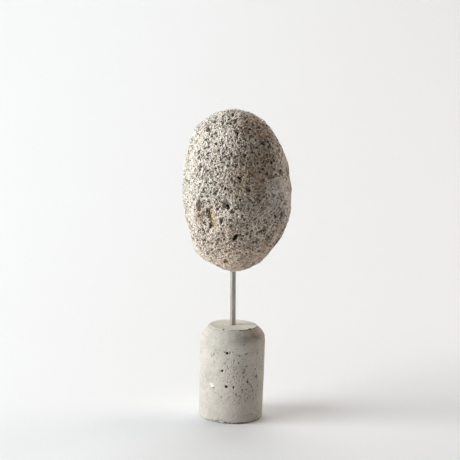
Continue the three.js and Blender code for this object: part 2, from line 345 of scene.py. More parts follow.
# Where pin holes thin out below and above, where the paler front fades out and where the painted
# shade on the shoulder fades in, in height.
PIN_BAND_FOOT = (14, 22)
PIN_BAND_TOP = (66, 74)
CORNER_PINS_FOOT = (2, 8)
PALER_FRONT_TOP = (68, 75)
PAINTED_SHADE_FOOT = (72, 77)

# The azimuth where something gathers on the base, and how far it spreads.
GATHERED = {
    "pins": (35, 60),
    "corner pins": (52, 24),
    # A paler place on the front of the wall.
    "paler_front": (10, 28),
    # Painted shade on the shoulder's right side.
    "painted_shoulder_shade": (50, 38),
    "ragged": (-10, 50),
    "seam": (-30, 55),
}


# ---- numbers and directions


SEED_FACTOR = 16807
SEED_LIMIT = 2147483647


def seeded_numbers(seed):
    """An endless, repeatable run of numbers between 0 and 1."""
    state = seed
    while True:
        state = state * SEED_FACTOR % SEED_LIMIT
        yield state / SEED_LIMIT


def direction(azimuth, elevation):
    """The unit vector at an azimuth from the front towards +X, and an elevation."""
    turn = math.radians(azimuth)
    rise = math.radians(elevation)
    across = math.cos(rise)
    return np.array([across * math.sin(turn), -across * math.cos(turn), math.sin(rise)])


def seeded_direction(numbers):
    height = 2 * next(numbers) - 1
    turn = 2 * math.pi * next(numbers)
    across = math.sqrt(1 - height * height)
    return np.array([across * math.sin(turn), -across * math.cos(turn), height])


def turned(vector, axis, degrees):
    return np.array(Matrix.Rotation(math.radians(degrees), 3, Vector(axis)) @ Vector(vector))


def unit_vectors(vectors):
    return vectors / np.linalg.norm(vectors, axis=-1, keepdims=True)


def smooth_step(values, start, end):
    share = np.clip((values - start) / (end - start), 0, 1)
    return share * share * (3 - 2 * share)


# ---- the stone's skin


def seeded_waves(numbers, count, longest, shortest):
    """Gives waves from the longest to the shortest: each one's path, phase and length."""
    for index in range(count):
        wavelength = longest * (shortest / longest) ** (index / (count - 1))
        path = seeded_direction(numbers) * 2 * math.pi / wavelength
        yield path, 2 * math.pi * next(numbers), wavelength


def relief_waves():
    numbers = seeded_numbers(RELIEF_SEED)
    waves = seeded_waves(numbers, RELIEF_WAVES, LONGEST_WAVE, SHORTEST_WAVE)
    return [(path, phase, RELIEF_STEEPNESS * wavelength) for path, phase, wavelength in waves]


RELIEF = relief_waves()


def skin_normals(units):
    return unit_vectors(units / STONE_HALF_SIZE)


def skin_points(units):
    """The points of the stone's skin, from its centre, that unit vectors are stretched to."""
    stretch = np.ones(units.shape[:-1])
    for swell in SWELLS.values():
        middle = direction(swell.azimuth, swell.elevation)
        sideways = turned(direction(swell.azimuth + QUARTER_TURN, 0), middle, swell.turn)
        upwards = direction(swell.azimuth, swell.elevation + QUARTER_TURN)
        upwards = turned(upwards, middle, swell.turn)
        across = np.degrees(np.arctan2(units @ sideways, units @ middle)) / swell.wide
        along = np.degrees(np.arcsin(np.clip(units @ upwards, -1, 1))) / swell.tall
        stretch += swell.rise * np.exp(-across * across - along * along)
    points = units * STONE_HALF_SIZE * stretch[..., None]
    lift = sum(height * np.sin(points @ path + phase) for path, phase, height in RELIEF)
    return points + skin_normals(units) * lift[..., None]


class Pit(NamedTuple):
    """A pit's middle on the surface, its own directions, and its size."""

    middle: np.ndarray
    across: np.ndarray
    upwards: np.ndarray
    outwards: np.ndarray
    width: float
    length: float
    depth: float

    def spread(self, offsets):
        """How far offsets lie from the middle, squared, where 1 is on the rim."""
        across = offsets @ self.across * 2 / self.width
        along = offsets @ self.upwards * 2 / self.length
        return across * across + along * along


def turned_pit(middle, across, upwards, outwards, size, turn):
    """A pit whose opening is turned on the surface. Its size is its width, length and depth."""
    across = turned(across, outwards, turn)
    return Pit(middle, across, turned(upwards, outwards, turn), outwards, *size)


def stone_pit(unit, width, length, depth, turn):
    outwards = skin_normals(unit)
    across = unit_vectors(np.cross(UP, outwards))
    middle = skin_points(unit) + STONE_CENTRE
    upwards = np.cross(outwards, across)
    return turned_pit(middle, across, upwards, outwards, (width, length, depth), turn)


def marked_pits(marks):
    return [stone_pit(direction(mark.azimuth, mark.elevation), *mark[2:]) for mark in marks]


def wall_pit(hole, radius):
    outwards = direction(hole.azimuth, 0)
    across = direction(hole.azimuth + QUARTER_TURN, 0)
    middle = outwards * radius + UP * hole.height
    return turned_pit(middle, across, UP, outwards, hole[2:5], hole.turn)


def scatter_pits(kind, taken):
    """Pits of a kind at seeded places, clear of each other and of those already taken."""
    numbers = seeded_numbers(kind.seed)
    placed = list(taken)
    while len(placed) < len(taken) + kind.count:
        unit = seeded_direction(numbers)
        width = kind.smallest + (kind.largest - kind.smallest) * next(numbers)
        length = width * (1 + PIT_STRETCH * next(numbers))
        spread = 1 + PIT_DEPTH_SPREAD * (2 * next(numbers) - 1)
        depth = width * kind.depth_share * spread
        pit = stone_pit(unit, width, length, depth, HALF_TURN * next(numbers))
        evenness = np.linalg.norm(unit / STONE_HALF_SIZE) * STONE_HALF_SIZE.min()
        clear = all(
            np.linalg.norm(other.middle - pit.middle)
            > (other.length + pit.length) / 2 + kind.spacing
            for other in placed
        )
        if clear and next(numbers) < evenness:
            placed.append(pit)
    return placed[len(taken) :]


WANDER_SEED = 41
WANDER_WAVES = 12
WANDER_LONGEST = 6
WANDER_SHORTEST = 1.4
PIT_REACH = 0.6
STEEP_WALL = 0.55
SOFT_WALL = 1.6


def wander_waves():
    numbers = seeded_numbers(WANDER_SEED)
    waves = seeded_waves(numbers, WANDER_WAVES, WANDER_LONGEST, WANDER_SHORTEST)
    return [
        (path, phase, seeded_direction(numbers) / math.sqrt(WANDER_WAVES))
        for path, phase, _ in waves
    ]


WANDER = wander_waves()


def carve(points, sunk, pits, wall=STEEP_WALL, wander=0.0, shade=1.0):
    """Presses pits into points, and keeps a share of how deep each sinks. Wander frays rims."""
    for pit in pits:
        offsets = points - pit.middle
        reach = PIT_REACH * max(pit.width, pit.length) + wander
        near = np.flatnonzero(np.einsum("ij,ij->i", offsets, offsets) < reach * reach)
        offsets = offsets[near]
        if wander:
            for path, phase, way in WANDER:
                offsets += np.outer(np.sin(points[near] @ path + phase), way) * wander
        depth = pit.depth * np.maximum(0, 1 - pit.spread(offsets)) ** wall
        points[near] -= depth[:, None] * pit.outwards
        sunk[near] = np.maximum(sunk[near], depth * shade)


def drill(points, outwards, chosen, end_height, grid):
    """Presses the chosen points inside the rod's hole to its far end, which leaves a tube."""
    radius = ROD_RADIUS + FIT_GAP
    offsets = points - ROD_MIDDLE
    along = offsets @ ROD_AXIS
    radial = offsets - along[:, None] * ROD_AXIS
    distance = np.linalg.norm(radial, axis=1)
    rim = np.flatnonzero(chosen & (abs(distance - radius) <= grid / 2))
    points[rim] += radial[rim] * (radius / distance[rim] - 1)[:, None]
    inside = np.flatnonzero(chosen & (distance < radius - grid / 2))
    end = (end_height - ROD_MIDDLE[2]) / ROD_AXIS[2]
    widen = radius / distance[inside].max()
    points[inside] = ROD_MIDDLE + ROD_AXIS * end + radial[inside] * widen
    outwards[inside] = 0


def patch_shares(points, patches):
    """How far each point lies inside soft-edged patches of the stone: 0 outside, 1 in a middle."""
    shares = np.zeros(len(points))
    for patch in patches:
        unit = direction(patch.azimuth, patch.elevation)
        spot = stone_pit(unit, patch.width, patch.length, 0, patch.turn)
        offsets = points - spot.middle
        facing = offsets @ spot.outwards > -STONE_HALF_SIZE.min() / 2
        inside = np.exp(-spot.spread(offsets)) * patch.strength * facing
        shares = np.maximum(shares, inside)
    return shares


# ---- meshes


def add_number(mesh, name, values):
    attribute = mesh.attributes.new(name, "FLOAT", "POINT")
    attribute.data.foreach_set("value", np.asarray(values, np.float32))


def add_vector(mesh, name, vectors):
    attribute = mesh.attributes.new(name, "FLOAT_VECTOR", "POINT")
    attribute.data.foreach_set("vector", np.asarray(vectors, np.float32).ravel())


def show(name, mesh):
    """A new object of the mesh at the origin, in place of any older one of its name."""
    old = bpy.data.objects.get(name)
    if old:
        bpy.data.objects.remove(old)
    piece = bpy.data.objects.new(name, mesh)
    bpy.context.scene.collection.objects.link(piece)
    return piece


def add_nodes(piece, tree, sizes, material):
    """Adds a Geometry Nodes modifier and sets its inputs by their identifiers."""
    modifier = piece.modifiers.new(tree.name, "NODES")
    modifier.node_group = tree
    inputs = {**sizes, "Material": material}
    for socket in tree.interface.items_tree:
        if socket.name in inputs:
            modifier[socket.identifier] = inputs[socket.name]


def bake_modifiers(piece, triangles):
    """Thins the mesh to a number of triangles and makes the result of every modifier plain."""
    faces = sum(len(face.vertices) - 2 for face in piece.data.polygons)
    if faces > triangles:
        thin = piece.modifiers.new("Thin", "DECIMATE")
        thin.ratio = triangles / faces
    graph = bpy.context.evaluated_depsgraph_get()
    mesh = bpy.data.meshes.new_from_object(
        piece.evaluated_get(graph), preserve_all_data_layers=True, depsgraph=graph
    )
    piece.modifiers.clear()
    piece.data = mesh
    mesh.name = piece.name
    mesh.shade_smooth()


def dress(piece, material, node):
    """Gives the piece its material and lets it stand for a node of the frame."""
    piece.data.materials.clear()
    piece.data.materials.append(material)
    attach(piece, ROOT_BODY)
    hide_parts(node)


def evenly_along(points, step):
    """Points about a step apart along a line of points, with both ends kept."""
    points = np.asarray(points, float)
    lengths = np.linalg.norm(np.diff(points, axis=0), axis=1)
    travelled = np.concatenate([[0], np.cumsum(lengths)])
    places = np.linspace(0, travelled[-1], max(2, round(travelled[-1] / step) + 1))
    return np.stack([np.interp(places, travelled, column) for column in points.T], axis=1)


def lathe(profile, sides):
    """Points and faces of a profile turned about +Z, from its lower pole to its upper one."""
    rings = np.asarray(profile[1:-1])
    turns = np.linspace(0, 2 * math.pi, sides, endpoint=False)
    points = np.stack(
        [
            np.outer(rings[:, 0], np.sin(turns)),
            -np.outer(rings[:, 0], np.cos(turns)),
            np.repeat(rings[:, 1:], sides, axis=1),
        ],
        axis=-1,
    ).reshape(-1, 3)
    bottom, top = len(points), len(points) + 1
    points = np.concatenate([points, [[0, 0, profile[0][1]], [0, 0, profile[-1][1]]]])
    here = np.arange(sides)
    beside = (here + 1) % sides
    rows = (np.arange(len(rings) - 1) * sides)[:, None]
    walls = np.stack([rows + here, rows + beside, rows + beside + sides, rows + here + sides], -1)
    last = (len(rings) - 1) * sides
    faces = walls.reshape(-1, 4).tolist()
    faces += [[bottom, side, near] for near, side in zip(here.tolist(), beside.tolist())]
    faces += [[top, last + near, last + side] for near, side in zip(here.tolist(), beside.tolist())]
    return points, faces


# ---- node trees


def find_socket(sockets, key):
    """A node's socket by its place, or the first one in use with its name."""
    if isinstance(key, int):
        return sockets[key]
    return next(socket for socket in sockets if socket.name == key and socket.enabled)


def arithmetic(operation, reflected=False):
    """A method that joins a value and another number with a Math node."""

    def join(self, other):
        pair = (other, self) if reflected else (self, other)
        return self.tree.node("ShaderNodeMath", {"operation": operation}, dict(enumerate(pair)))

    return join


class Value:
    """A socket whose number can be used in Python sums, which add the Math nodes."""

    def __init__(self, tree, socket):
        self.tree = tree
        self.socket = socket

    def output(self, key):
        """Another output of the same node."""
        return Value(self.tree, find_socket(self.socket.node.outputs, key))

    __add__ = arithmetic("ADD")
    __radd__ = arithmetic("ADD", reflected=True)
    __sub__ = arithmetic("SUBTRACT")
    __rsub__ = arithmetic("SUBTRACT", reflected=True)
    __mul__ = arithmetic("MULTIPLY")
    __rmul__ = arithmetic("MULTIPLY", reflected=True)
    __truediv__ = arithmetic("DIVIDE")
    __rtruediv__ = arithmetic("DIVIDE", reflected=True)
    __pow__ = arithmetic("POWER")
    least = arithmetic("MINIMUM")
    most = arithmetic("MAXIMUM")

    def fade(self, start, end):
        """A soft step from 0 at the start to 1 at the end, which may lie below the start."""
        settings = {"interpolation_type": "SMOOTHSTEP"}
        inputs = {"Value": self, "From Min": start, "From Max": end}
        return self.tree.node("ShaderNodeMapRange", settings, inputs)


class Tree:
    """Adds nodes to a node tree, each in one call that gives its first output in use."""

    def __init__(self, tree):
        self.tree = tree

    def node(self, kind, settings=None, inputs=None):
        made = self.tree.nodes.new(kind)
        for name, setting in (settings or {}).items():
            setattr(made, name, setting)
        for key, value in (inputs or {}).items():
            socket = find_socket(made.inputs, key)
            if isinstance(value, Value):
                self.tree.links.new(value.socket, socket)
            else:
                socket.default_value = value
        outputs = [socket for socket in made.outputs if socket.enabled]
        return Value(self, outputs[0]) if outputs else None

    def vector(self, operation, *values):
        settings = {"operation": operation}
        return self.node("ShaderNodeVectorMath", settings, dict(enumerate(values)))

    def scaled(self, vector, number):
        settings = {"operation": "SCALE"}
        return self.node("ShaderNodeVectorMath", settings, {"Vector": vector, "Scale": number})

    def noise(self, place, size, detail=2.0, roughness=0.5):
        """Noise from 0 to 1 whose lumps are about a size across, in metres."""
        inputs = {"Vector": place, "Scale": 1 / size, "Detail": detail, "Roughness": roughness}
        return self.node("ShaderNodeTexNoise", {}, inputs)

    def swayed(self, place, size, amount, detail):
        """A place pushed about by noise, which makes round pits ragged."""
        noise = self.noise(place, size, detail).output("Color")
        sway = self.scaled(self.vector("SUBTRACT", noise, (0.5, 0.5, 0.5)), amount)
        return self.vector("ADD", place, sway)

    def blend(self, share, first, second, how="MIX"):
        """Mixes two colours."""
        settings = {"data_type": "RGBA", "blend_type": how}
        inputs = {"Factor": share, "A": with_alpha(first), "B": with_alpha(second)}
        return self.node("ShaderNodeMix", settings, inputs)

    def tinted(self, share, colour, tint):
        """Takes a colour a share of the way to its product with a tint."""
        return self.blend(share, colour, self.blend(1.0, colour, tint, "MULTIPLY"))


def with_alpha(colour):
    return colour if isinstance(colour, Value) else (*colour, 1)


# ---- geometry trees

# Points tried to each square of the spacing, and how far patches change the size of pores.
CROWDING = 3
PATCH_CONTRAST = 4
TINIEST_RADIUS = 0.00002
LOW_CHIPPING = 0.36
CHIP_EDGE = (0.58, 0.7)


def new_geometry_tree(name, sizes, counts=()):
    """A Geometry Nodes group with named inputs. Gives its tree and its input end."""
    old = bpy.data.node_groups.get(name)
    if old:
        bpy.data.node_groups.remove(old)
    group = bpy.data.node_groups.new(name, "GeometryNodeTree")
    group.interface.new_socket("Geometry", in_out="OUTPUT", socket_type="NodeSocketGeometry")
    kinds = {"Geometry": "Geometry"}
    kinds.update(dict.fromkeys(sizes, "Float"))
    kinds.update(dict.fromkeys(counts, "Int"))
    kinds["Material"] = "Material"
    for label, kind in kinds.items():
        group.interface.new_socket(label, in_out="INPUT", socket_type="NodeSocket" + kind)
    tree = Tree(group)
    return tree, tree.node("NodeGroupInput")


def end_tree(tree, geometry, material):
    real = tree.node("GeometryNodeRealizeInstances", {}, {"Geometry": geometry})
    inputs = {"Geometry": real, "Material": material}
    coated = tree.node("GeometryNodeSetMaterial", {}, inputs)
    tree.node("NodeGroupOutput", {}, {"Geometry": coated})
    return tree.tree


def stored_field(tree, name, kind="FLOAT"):
    return tree.node("GeometryNodeInputNamedAttribute", {"data_type": kind}, {"Name": name})


def store_number(tree, geometry, name, number):
    settings = {"data_type": "FLOAT", "domain": "POINT"}
    inputs = {"Geometry": geometry, "Name": name, "Value": number}
    return tree.node("GeometryNodeStoreNamedAttribute", settings, inputs)


def at_point(tree, points, kind, value, index):
    """What a field says at one of the points."""
    settings = {"data_type": kind, "domain": "POINT"}
    inputs = {"Geometry": points, "Value": value, "Index": index}
    return tree.node("GeometryNodeSampleIndex", settings, inputs)


def pushed_out(tree, skin, distance):
    """Moves the skin along the outward directions that are stored on it."""
    offset = tree.scaled(stored_field(tree, "outwards", "FLOAT_VECTOR"), distance)
    return tree.node("GeometryNodeSetPosition", {}, {"Geometry": skin, "Offset": offset})


def rugged_tree():
    """Lifts and lowers the skin by noise of two sizes."""
    sizes = ("Lump Size", "Lump Height", "Bump Size", "Bump Height")
    tree, given = new_geometry_tree("Rugged Skin", sizes)
    place = tree.node("GeometryNodeInputPosition")
    lumps = (tree.noise(place, given.output("Lump Size")) - 0.5) * 2
    bumps = (tree.noise(place, given.output("Bump Size")) - 0.5) * 2
    lift = bumps * given.output("Bump Height") + lumps * given.output("Lump Height")
    moved = pushed_out(tree, given.output("Geometry"), lift)
    return end_tree(tree, moved, given.output("Material"))


def pore_tree():
    """Presses seeded pores into the skin and stores how deep each point has sunk."""
    sizes = (
        "Spacing",
        "Smallest Radius",
        "Largest Radius",
        "Depth Share",
        "Wobble",
        "Wobble Size",
        "Patch Size",
        "Patchiness",
    )
    tree, given = new_geometry_tree("Carve Pores", sizes, ["Seed"])
    skin = given.output("Geometry")
    spacing = given.output("Spacing")
    seed = given.output("Seed")
    place = tree.node("GeometryNodeInputPosition")
    points = tree.node(
        "GeometryNodeDistributePointsOnFaces",
        {"distribute_method": "POISSON"},
        {
            "Mesh": skin,
            "Distance Min": spacing,
            "Density Max": CROWDING / (spacing * spacing),
            "Seed": seed,
        },
    )
    wobble = given.output("Wobble") * 2
    swayed = tree.swayed(place, given.output("Wobble Size"), wobble, 2.0)
    inputs = {"Geometry": points, "Sample Position": swayed}
    nearest = tree.node("GeometryNodeSampleNearest", {"domain": "POINT"}, inputs)
    smallest = given.output("Smallest Radius")
    inputs = {"Min": smallest, "Max": given.output("Largest Radius"), "Seed": seed}
    size = tree.node("FunctionNodeRandomValue", {"data_type": "FLOAT"}, inputs)
    patches = (tree.noise(place, given.output("Patch Size"), 1.0) - 0.5) * PATCH_CONTRAST
    size = size * (1 + patches * given.output("Patchiness")).most(0.0)
    centre = at_point(tree, points, "FLOAT_VECTOR", place, nearest)
    radius = at_point(tree, points, "FLOAT", size, nearest) * stored_field(tree, "pitting")
    radius = radius.most(TINIEST_RADIUS)
    share = tree.vector("DISTANCE", swayed, centre).output("Value") / radius
    bowl = (1 - share * share).most(0.0) ** STEEP_WALL
    depth = bowl * radius * given.output("Depth Share")
    carved = pushed_out(tree, skin, 0 - depth)
    stored = store_number(tree, carved, "sunk", stored_field(tree, "sunk").most(depth))
    return end_tree(tree, stored, given.output("Material"))


def weather_tree():
    """Makes a cast wall slightly uneven, and chips its foot where the noise runs high."""
    sizes = ("Wave Size", "Wave Height", "Chip Size", "Chip Depth", "Chip Reach")
    tree, given = new_geometry_tree("Weather Concrete", sizes)
    place = tree.node("GeometryNodeInputPosition")
    waves = tree.noise(place, given.output("Wave Size")) - 0.5
    height = tree.node("ShaderNodeSeparateXYZ", {}, {"Vector": place}).output("Z")
    low = 1 - (height / given.output("Chip Reach")).least(1.0)
    rough = tree.noise(place, given.output("Chip Size")) + low * LOW_CHIPPING
    chip = rough.fade(*CHIP_EDGE) * low ** 0.5 * stored_field(tree, "ragged")
    lift = waves * given.output("Wave Height") * 2 - chip * given.output("Chip Depth")
    moved = pushed_out(tree, given.output("Geometry"), lift)
    stored = store_number(tree, moved, "chipped", chip)
    return end_tree(tree, stored, given.output("Material"))


# ---- materials

# How large each pattern is, how far it sways and how high its relief stands, in metres.
STONE_CLOUDS = 0.016
STONE_MOTTLE = 0.0035
STONE_GRAINS = 0.0014
STONE_BEND = 0.0022
STONE_SWAY = 0.0022
STONE_CROWDS = 0.012
STONE_RELIEF = 0.0027
DRAWN_LINES = 0.00035
STEEL_HAZE = 0.006
STEEL_RELIEF = 0.0001
CEMENT_CLOUDS = 0.02
CEMENT_MOTTLE = 0.005
CEMENT_SAND = 0.0016
WARM_CLOUDS = 0.03
CEMENT_BEND = 0.0016
CEMENT_SWAY = 0.0012
PIN_CROWDS = 0.009
CEMENT_RELIEF = 0.0009

# Where the blush begins and ends up the stone and across it, and how ragged its edge is.
BLUSH_EDGE = (0.2, 0.15)
BLUSH_SIDE = (-0.042, 0.0)
BLUSH_RAGGEDNESS = 0.03

# How deep a pit is where its painted shade starts, and where it is darkest.
STONE_SHADOW = (0.0002, 0.0015)
CEMENT_SHADOW = (0.00012, 0.0009)

# The spacing of spots, then their smallest and largest radius in shares of it.
STONE_SPOTS = (0.0029, 0.15, 0.42)
SMALL_STONE_SPOTS = (0.0018, 0.16, 0.4)
PIN_SPOTS = (0.0026, 0.04, 0.3)
SMALL_PIN_SPOTS = (0.0017, 0.05, 0.3)
FAINTEST_SPOT = 0.6
EYE_RIM = (1.05, 0.75)
WALL_RIM = (1.8, 0.5)

# How strongly the smaller patches tint: the pale edge ones partly paint rim light, the pale yellow
# ridge ones partly a highlight.
PATCH_STRENGTHS = {"ridge_tint_and_painted_highlight": 0.85, "slate": 0.55, "pale_edge_and_painted_rim_light": 0.9, "ochre": 0.85}
DRAWN_OUT = (1.0, 1.0, 0.012)
OBLIQUE = (0.6, 0.9, 0.4)
WARM_SHIFT = (0.3, 0.1, 0.2)


def new_material(name):
    """An empty node material. Gives the material and its tree."""
    old = bpy.data.materials.get(name)
    if old:
        bpy.data.materials.remove(old)
    material = bpy.data.materials.new(name)
    material.use_nodes = True
    material.node_tree.nodes.clear()
    return material, Tree(material.node_tree)


def finish_material(tree, inputs):
    surface = tree.node("ShaderNodeBsdfPrincipled", {}, inputs)
    tree.node("ShaderNodeOutputMaterial", {}, {"Surface": surface})


def object_place(tree):
    return tree.node("ShaderNodeTexCoord").output("Object")


def slanted(tree, place):
    """Turns a place off the level, so that the noise's grid doesn't show on level faces."""
    settings = {"rotation_type": "EULER_XYZ"}
    inputs = {"Vector": place, "Rotation": OBLIQUE}
    return tree.node("ShaderNodeVectorRotate", settings, inputs)


def stored_number(tree, name):
    settings = {"attribute_type": "GEOMETRY", "attribute_name": name}
    return tree.node("ShaderNodeAttribute", settings).output("Fac")


def spots(tree, place, size, smallest, largest):
    """Scattered pits of random radius, in shares of their spacing: their dark eyes and walls."""
    cell = tree.node("ShaderNodeTexVoronoi", {}, {"Vector": place, "Scale": 1 / size})
    chances = tree.node("ShaderNodeSeparateColor", {}, {"Color": cell.output("Color")})
    radius = chances.output("Red") * (largest - smallest) + smallest
    strength = chances.output("Green") * (1 - FAINTEST_SPOT) + FAINTEST_SPOT
    eye = cell.fade(radius * EYE_RIM[0], radius * EYE_RIM[1]) * strength
    wall = cell.fade(radius * WALL_RIM[0], radius * WALL_RIM[1]) * strength * radius
    return eye, wall


def rough_surface(tree, colour, relief, height, roughness, shine):
    """Ends a material that shines little, with its relief as a bump of a height in metres."""
    inputs = {"Height": relief, "Strength": 1.0, "Distance": height}
    inputs = {
        "Base Color": colour,
        "Roughness": roughness,
        "Specular IOR Level": shine,
        "Normal": tree.node("ShaderNodeBump", {}, inputs),
    }
    finish_material(tree, inputs)


def stone_material(settings):
    material, tree = new_material("Pitted Stone")
    level = object_place(tree)
    place = slanted(tree, level)
    clouds = tree.noise(place, STONE_CLOUDS, 3.0)
    mottle = tree.noise(place, STONE_MOTTLE, 3.0, 0.6)
    grain = tree.noise(place, STONE_GRAINS, 2.0, 0.6)
    tone = clouds * 0.3 + mottle * 0.36 + grain * 0.34
    colour = tree.blend(tone.fade(0.38, 0.54), settings.shade, settings.light)

    # A warm blush low down and to the right, then the darker right side, partly weather-worn colour
    # and partly painted shade, then the smaller patches.
    parts = tree.node("ShaderNodeSeparateXYZ", {}, {"Vector": level})
    low = (parts.output("Z") + (clouds - 0.5) * BLUSH_RAGGEDNESS).fade(*BLUSH_EDGE)
    low = low * (parts.output("X").fade(*BLUSH_SIDE) * 0.7 + 0.3)
    colour = tree.tinted(low * 0.85, colour, settings.blush)
    # Painted shade in part: this darkens the right side and the lower right ledge.
    weathering_and_painted_shade = (stored_number(tree, "darker_patches_and_painted_shade") + (clouds - 0.5) * 0.7).fade(0.0, 1.0)
    colour = tree.tinted(weathering_and_painted_shade, colour, settings.darker_tint_and_painted_shade)
    # On the pale yellow ridge the tint partly paints a highlight where the ridge faces the key
    # lamp.
    for name, strength in PATCH_STRENGTHS.items():
        # On the pale right edge this partly paints rim light.
        edge = (stored_number(tree, name) + (mottle - 0.5) * 0.5).fade(0.15, 0.6)
        tint = tree.blend(0.35, getattr(settings, name), colour)
        colour = tree.blend(edge * strength, colour, tint)

    # Pores finer than the mesh, crowded here and there, and a darker, warmer ring round them. Their
    # dark eyes, and the darkening of every carved pit by how deep it sinks, are painted shade.
    bent = tree.swayed(place, STONE_BEND, STONE_SWAY, 1.0)
    eye, wall = spots(tree, bent, *STONE_SPOTS)
    small_eye, small_wall = spots(tree, bent, *SMALL_STONE_SPOTS)
    crowd = tree.noise(place, STONE_CROWDS, 2.0).fade(0.36, 0.54) * 0.6 + 0.4
    pitted = stored_number(tree, "pitting") * crowd
    # Painted shade in the pores' eyes and in the carved pits, darker the deeper they sink.
    dark = (eye * 1.1).least(1.0).most(small_eye * 0.55) * pitted
    dark = dark.most(stored_number(tree, "sunk").fade(*STONE_SHADOW) * 0.95)
    # A darker, warmer ring round each pore.
    pore_ring = (wall * 2.0).most(small_wall * 1.6).least(1.0) * pitted * 0.6
    colour = tree.tinted(pore_ring, colour, settings.pore_ring_tint)
    colour = tree.blend(dark, colour, tree.blend(low, settings.pore, settings.low_pore))
    relief = grain * 1.2 + mottle * 1.6 - (wall * 3.6 + small_wall * 2.4) * pitted
    rough_surface(tree, colour, relief, STONE_RELIEF, roughness=0.94, shine=0.2)
    return material


def steel_material(settings):
    material, tree = new_material("Satin Steel")
    place = object_place(tree)
    drawn = tree.vector("MULTIPLY", place, DRAWN_OUT)
    lines = tree.noise(drawn, DRAWN_LINES, 3.0, 0.6)
    haze = tree.noise(place, STEEL_HAZE, 3.0)
    colour = tree.blend(lines.fade(0.3, 0.75), settings.dark_steel, settings.light_steel)
    colour = tree.blend(haze.fade(0.5, 0.75) * 0.35, colour, settings.dark_steel)
    roughness = 0.3 + haze * 0.1 + lines * 0.06
    inputs = {"Height": lines, "Strength": 0.25, "Distance": STEEL_RELIEF}
    bump = tree.node("ShaderNodeBump", {}, inputs)
    inputs = {"Base Color": colour, "Metallic": 1.0, "Roughness": roughness, "Normal": bump}
    finish_material(tree, inputs)
    return material


def concrete_material(settings):
    material, tree = new_material("Cast Concrete")
    place = slanted(tree, object_place(tree))
    clouds = tree.noise(place, CEMENT_CLOUDS, 3.0)
    mottle = tree.noise(place, CEMENT_MOTTLE, 4.0, 0.6)
    sand = tree.noise(place, CEMENT_SAND, 3.0, 0.7)
    tone = clouds * 0.4 + mottle * 0.35 + sand * 0.25
    colour = tree.blend(tone.fade(0.38, 0.62), settings.cement_shade, settings.cement_light)
    warm = tree.noise(tree.vector("ADD", place, WARM_SHIFT), WARM_CLOUDS, 2.0)
    colour = tree.blend(warm.fade(0.42, 0.7) * 0.5, colour, settings.cement_warm)
    # Painted shade darkens the shoulder's right side.
    colour = tree.tinted(stored_number(tree, "painted_shoulder_shade"), colour, settings.cement_painted_shade)
    # The front of the wall is paler, with a sandy grain.
    paler_front = tree.blend(sand.fade(0.2, 0.6), colour, settings.cement_paler_front)
    colour = tree.blend(stored_number(tree, "paler_front") * 0.9, colour, paler_front)

    # Pin holes finer than the mesh, then the pale chip, the broken foot and the deep holes. The
    # dark in the pin holes, in the carved holes by their depth and in part of the foot's speckle is
    # painted shade.
    bent = tree.swayed(place, CEMENT_BEND, CEMENT_SWAY, 1.0)
    eye, wall = spots(tree, bent, *PIN_SPOTS)
    small_eye, small_wall = spots(tree, bent, *SMALL_PIN_SPOTS)
    crowd = tree.noise(place, PIN_CROWDS, 2.0).fade(0.34, 0.5) * stored_number(tree, "pitting")
    pins = (eye * 0.9).most(small_eye * 0.6) * crowd
    colour = tree.blend(pins, colour, settings.cement_hole)
    pale = stored_number(tree, "pale").fade(0.0, 0.9) * (0.4 + sand)
    colour = tree.blend(pale.least(1.0), colour, settings.cement_chip)
    rubble = tree.blend(sand.fade(0.42, 0.6), settings.cement_hole, settings.cement_chip)
    colour = tree.blend(stored_number(tree, "chipped").fade(0.1, 0.6) * 0.6, colour, rubble)
    # Painted shade in the carved holes, darker the deeper they sink.
    deep = stored_number(tree, "sunk").fade(*CEMENT_SHADOW)
    colour = tree.blend(deep * 0.94, colour, settings.cement_hole)
    relief = mottle * 0.5 + sand * 0.5 - (wall * 3.0 + small_wall * 2.0) * crowd
    roughness = 0.8 + mottle * 0.12
    rough_surface(tree, colour, relief, CEMENT_RELIEF, roughness=roughness, shine=0.3)
    return material


def paper_material(settings):
    material, tree = new_material("Studio Paper")
    inputs = {"Base Color": (*settings.paper, 1), "Roughness": 0.95, "Specular IOR Level": 0.1}
    finish_material(tree, inputs)
    return material


# ---- the pieces

# How much of its pores a worn place loses, how their radius varies, and how nicks are narrowed.
WORN_SMOOTH = 0.7
PORE_SPREAD = 0.4
NICK_WIDTH = 0.6
NICK_LENGTH = 0.65
NICK_DEPTH = 0.6


def narrowed(nick):
    width = nick.width * NICK_WIDTH
    length = nick.length * NICK_LENGTH
    return nick._replace(width=width, length=length, depth=nick.depth * NICK_DEPTH)


def finish_skin(mesh, points, outwards, sunk):
    """Gives the mesh its carved points and what the node trees read from them."""
    add_number(mesh, "sunk", sunk * MM)
    add_vector(mesh, "outwards", outwards)
    mesh.vertices.foreach_set("co", (points * MM).astype(np.float32).ravel())
    mesh.update()


